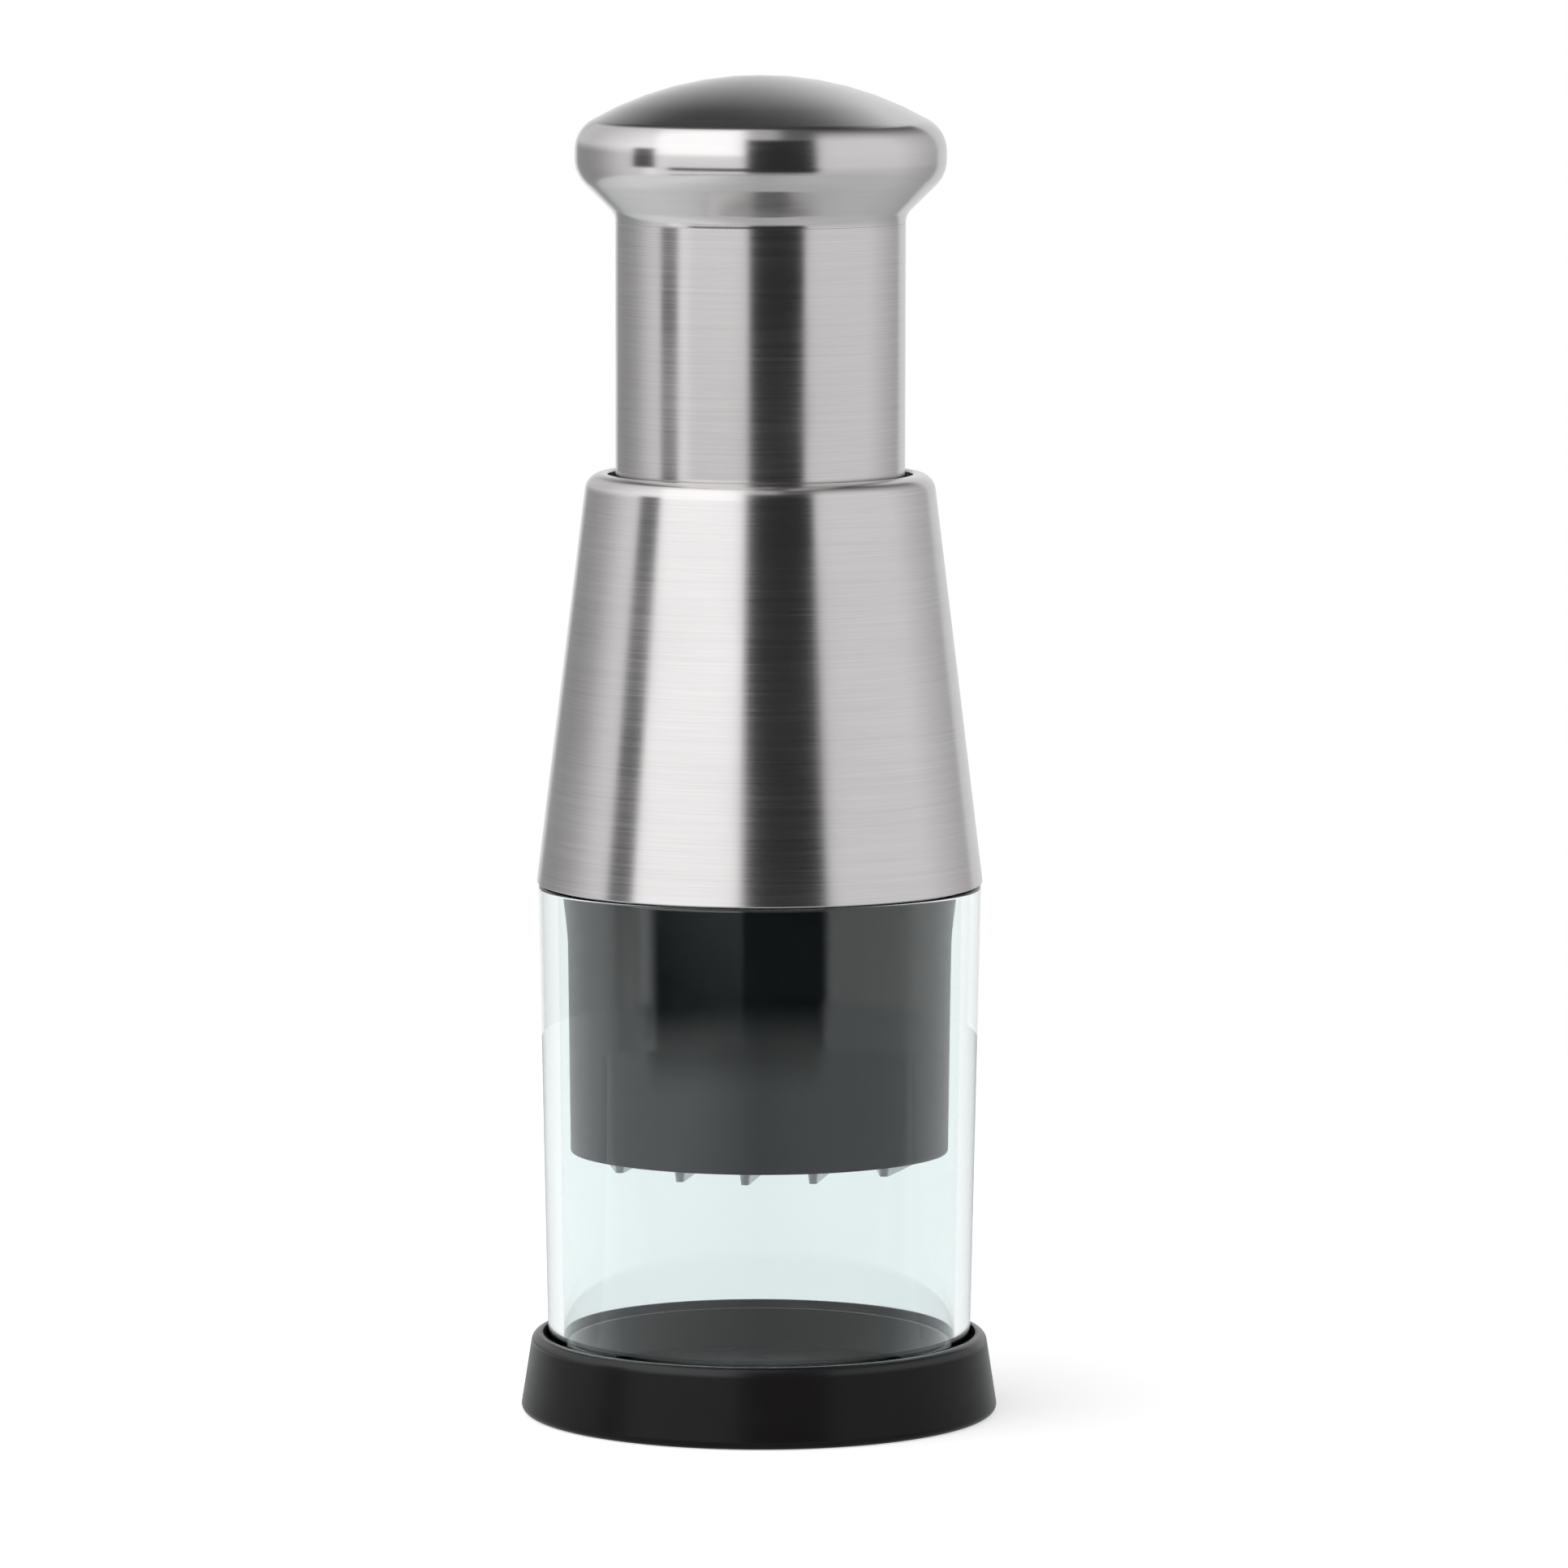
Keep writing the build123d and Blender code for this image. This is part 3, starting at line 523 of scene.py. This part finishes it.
steels = {
    "brushed_steel": dict(
        colour=(0.665, 0.65, 0.65), rough=0.225, spread=0.06, lines=6000, depth=0.04,
        Anisotropic=0.55, Anisotropic_Rotation=0.25,
    ),
    "satin_steel": dict(
        colour=(0.665, 0.65, 0.65), rough=0.18, spread=0.02, lines=6000, depth=0.03, slope=0.6,
        Anisotropic=0.2, Anisotropic_Rotation=0.25,
    ),
    "blade_steel": dict(
        colour=(0.40, 0.40, 0.41), rough=0.28, spread=0.03, lines=9000, depth=0.06
    ),
    "spring_steel": dict(
        colour=(0.42, 0.42, 0.43), rough=0.28, spread=0.05, lines=3000, depth=0.1
    ),
    "zinc_steel": dict(
        colour=(0.62, 0.63, 0.66), rough=0.30, spread=0.06, lines=2500, depth=0.1, smudge=0.06
    ),
}
plastics = {
    "black_plastic": dict(colour=(0.022, 0.022, 0.023), rough=0.42, texture=4200, depth=0.35),
    "guard_grey": dict(
        colour=(0.012, 0.0165, 0.018), rough=0.5, texture=4200, depth=0.01,
        Specular_IOR_Level=0.1,
    ),
    "white_acetal": dict(
        colour=(0.78, 0.78, 0.75), rough=0.38, texture=3500, depth=0.2, spread=0.02
    ),
    "seal_rubber": dict(colour=(0.020, 0.020, 0.020), rough=0.62, texture=6000, depth=0.3),
}
finishes = {
    **{name: steel(name, **values) for name, values in steels.items()},
    **{name: plastic(name, **values) for name, values in plastics.items()},
    "black_gloss": base_plastic(),
    "black_board": chopping_board(),
    "clear_plastic": clear_plastic(),
}


# ---------------------------------------------------------------- the object

slot_of = {row["node"]: row["material_slot"] for row in frame["record"]["subparts"]}

for node, cad_piece in nodes.items():
    cad_piece.data.materials.clear()
    cad_piece.data.materials.append(finishes[slot_of[node]])

made = {
    "outer_shell": make_outer_shell,
    "plunger_tube": make_plunger_tube,
    "knob_shell": make_knob,
    "clear_container": make_container,
    "base_cap": make_base,
    "cutting_board": make_board,
    "return_spring": make_spring,
}

for node, make in made.items():
    piece = make()
    piece.data.materials.append(finishes[slot_of[node]])
    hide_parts(node)


# ---------------------------------------------------------------- studio

backlight = 1.2  # brightness of what is seen through the clear container

# The studio is laid out by what it looks like in polished steel to someone who looks along +Y.
# Each part has a range of the azimuth that the steel faces, in degrees from the front (-Y)
# towards +X, a range of the elevation that it faces, in degrees, and a brightness. A range is
# (from, to, blur), or has a second blur for its upper end. A part covers those listed before it.
right_wall, left_wall = grey(0.86), grey(1.18)
studio = [
    ((16, 90, 3), (-90, -5, 14), grey(0.70)),  # lower part of the right wall
    ((-90, -38, 6), (-90, 7, 16), grey(0.82)),  # lower part of the left wall
    ((-90, -54, 14), (-90, 7, 16), grey(0.58)),  # its far end
    ((4, 95, 6), (38, 95, 30), grey(0.06)),  # the right wall fades out into the ceiling
    ((-34.5, -5.2, 1.5, 3.5), (-90, 3.5, 3), grey(0.98)),  # under the softbox
    ((-34.5, -5.2, 1.5, 3.5), (2.8, 47, 10, 3), grey(1.49)),  # softbox, which leans over the object
    ((-42.6, -34.4, 1.5), (-5, 12, 3, 5), grey(0.13)),  # gap between softbox and left wall
    ((-42.9, -34.6, 1.2), (-4, -0.8, 1), grey(0.0)),  # foot of the gap
    ((-29.5, 18, 3), (-8.5, -4, 1.5), grey(0.012)),  # dark stripe beyond the floor, in front
    ((-4.6, 17.5, 2), (-12, 30, 4), grey(0.03)),  # dark opening behind the camera
    ((4, 18, 4), (29, 50, 6), grey(0.13)),  # ceiling above the opening, on the right
    ((-4.6, 6, 5), (29, 50, 6), grey(0.52)),  # ceiling above the opening, on the left
]


def within(tree, value, low, high, blur, upper_blur=None):
    """1 inside a range, and 0 outside it."""
    rise_half, fall_half = blur / 2, (upper_blur or blur) / 2
    rise = ramp(tree, value, low - rise_half, low + rise_half, kind="SMOOTHSTEP")
    fall = ramp(tree, value, high - fall_half, high + fall_half, 1.0, 0.0, "SMOOTHSTEP")
    return times(tree, rise, fall)


def make_world():
    """White for the camera and through the clear container; a plain studio for light and gloss."""
    degree = 180 / pi
    world = bpy.data.worlds.new("studio")
    bpy.context.scene.world = world
    world.use_nodes = True
    tree = world.node_tree
    direction = add(tree, "TexCoord").outputs["Generated"]
    x, y, z = split(tree, direction)
    elevation = times(tree, maths(tree, "ARCSINE", z), degree)
    halfway = vector_maths(tree, "SUBTRACT", direction, (0, 1, 0))
    faces_x, faces_y, faces_z = split(tree, vector_maths(tree, "NORMALIZE", halfway))
    sideways = maths(tree, "ARCTAN2", faces_x, times(tree, faces_y, -1.0))
    sideways = times(tree, sideways, degree)
    upwards = times(tree, maths(tree, "ARCSINE", faces_z), degree)

    light = blend_colours(tree, ramp(tree, sideways, -5, 5), left_wall, right_wall)
    for azimuths, elevations, level in studio:
        across = within(tree, sideways, *azimuths)
        share = times(tree, across, within(tree, upwards, *elevations))
        light = blend_colours(tree, share, light, level)

    # the walls fade towards the back, first the left one
    on_right = ramp(tree, x, -0.1, 0.1)
    back = minus(tree, y, times(tree, on_right, 0.1))
    light = blend_colours(tree, ramp(tree, back, 0.0, 0.7, 1.0, 0.58), grey(0.0), light)

    # the wall behind the object is white at the foot and dark at the ceiling, mostly on the left
    right_lean = ramp(tree, elevation, 30, 52, 110.0, 10.0)  # degrees of height per unit of x
    left_lean = 60.0
    to_right = times(tree, maths(tree, "MAXIMUM", x, 0.0), right_lean)
    to_left = times(tree, maths(tree, "MINIMUM", x, 0.0), left_lean)
    height = minus(tree, elevation, plus(tree, to_right, to_left))
    wall = maths(tree, "POWER", ramp(tree, height, 4, 57, 0.92, 0.08), 1.15)
    wall = times(tree, wall, ramp(tree, x, -0.3, 0.3, 1.15, 0.84))
    behind = add(tree, "CombineColor", {0: wall, 1: wall, 2: wall}).outputs[0]
    upper = ramp(tree, upwards, 47, 52, kind="SMOOTHSTEP")

    # its foot shows up to both sides of the object, a little wider on the right
    edge = plus(tree, y, times(tree, on_right, 0.14))
    sides = ramp(tree, edge, 0.90, 0.97, kind="SMOOTHSTEP")
    light = blend_colours(tree, maths(tree, "MAXIMUM", upper, sides), light, behind)

    path = add(tree, "LightPath").outputs
    through = times(tree, path["Is Transmission Ray"], ramp(tree, y, -0.1, 0.1))
    shown = blend_colours(tree, through, light, grey(backlight))
    shown = blend_colours(tree, path["Is Camera Ray"], shown, grey(1.0))
    tree.links.new(shown, tree.nodes["Background"].inputs["Color"])


def make_floor():
    """Small white floor. Its own light makes it white for the camera and keeps a faint shadow."""
    radius, rim_fade = 0.335, 0.05
    white, own_light = 0.8, 0.6
    gloss_tone = (0.975, 1.0, 1.0, 1)
    turns = [2 * pi * i / segments for i in range(segments)]
    mesh = bpy.data.meshes.new("floor")
    rim = [(radius * cos(turn), radius * sin(turn), 0) for turn in turns]
    mesh.from_pydata(rim, [], [tuple(range(segments))])
    floor = bpy.data.objects.new("floor", mesh)
    bpy.context.scene.collection.objects.link(floor)
    material = bpy.data.materials.new("white_floor")
    mesh.materials.append(material)
    material.use_nodes = True
    tree = material.node_tree
    tree.nodes.clear()
    path = add(tree, "LightPath").outputs
    x, y, _ = split(tree, object_place(tree))

    # behind the object, through the container, it is as even and as bright as the world
    through = times(tree, path["Is Transmission Ray"], ramp(tree, y, -0.03, 0.03))
    in_gloss = minus(tree, path["Is Glossy Ray"], through)
    in_gloss = maths(tree, "GREATER_THAN", in_gloss, 0.5)
    colour = maths(tree, "MULTIPLY_ADD", in_gloss, -white, white)
    colour = times(tree, colour, minus(tree, 1.0, through))
    matt = add(tree, "BsdfDiffuse", {"Color": colour}).outputs[0]

    # in gloss it is dimmer on the right and at the back, and its front rim fades out
    mirrored = ramp(tree, x, -0.15, 0.0, 0.92, 0.53)
    mirrored = plus(tree, mirrored, ramp(tree, x, 0.0, 0.12, 0.0, 0.11))
    inside = ramp(tree, distance(tree, x, y), radius, radius - rim_fade, kind="SMOOTHSTEP")
    off_front = ramp(tree, plus(tree, y, times(tree, x, 0.25)), -0.25, -0.21)
    mirrored = times(tree, mirrored, maths(tree, "MAXIMUM", inside, off_front))
    mirrored = times(tree, mirrored, ramp(tree, y, 0.05, 0.30, 1.0, 0.6))

    strength = times(tree, path["Is Camera Ray"], own_light)
    strength = plus(tree, strength, times(tree, in_gloss, mirrored))
    strength = plus(tree, strength, times(tree, through, backlight))
    tone = blend_colours(tree, in_gloss, grey(1.0), gloss_tone)
    glow = add(tree, "Emission", {"Color": tone, "Strength": strength}).outputs[0]
    both = add(tree, "AddShader", {0: matt, 1: glow}).outputs[0]
    add(tree, "OutputMaterial", {"Surface": both})


def make_camera():
    """Long lens a little above the object, which looks down on it."""
    away, height = 1.135, 0.2002
    tilt, aside, roll = radians(6.229), radians(0.137), radians(0.09)
    camera = bpy.data.cameras.new("camera")
    camera.sensor_width = 36
    camera.lens = 217.44
    viewer = bpy.data.objects.new("camera", camera)
    bpy.context.scene.collection.objects.link(viewer)
    viewer.location = (0, -away, height)
    viewer.rotation_euler = (pi / 2 - tilt, -roll, -aside)
    bpy.context.scene.camera = viewer


make_world()
make_floor()
make_camera()
bpy.context.scene.view_settings.view_transform = "Standard"

bpy.context.view_layer.update()
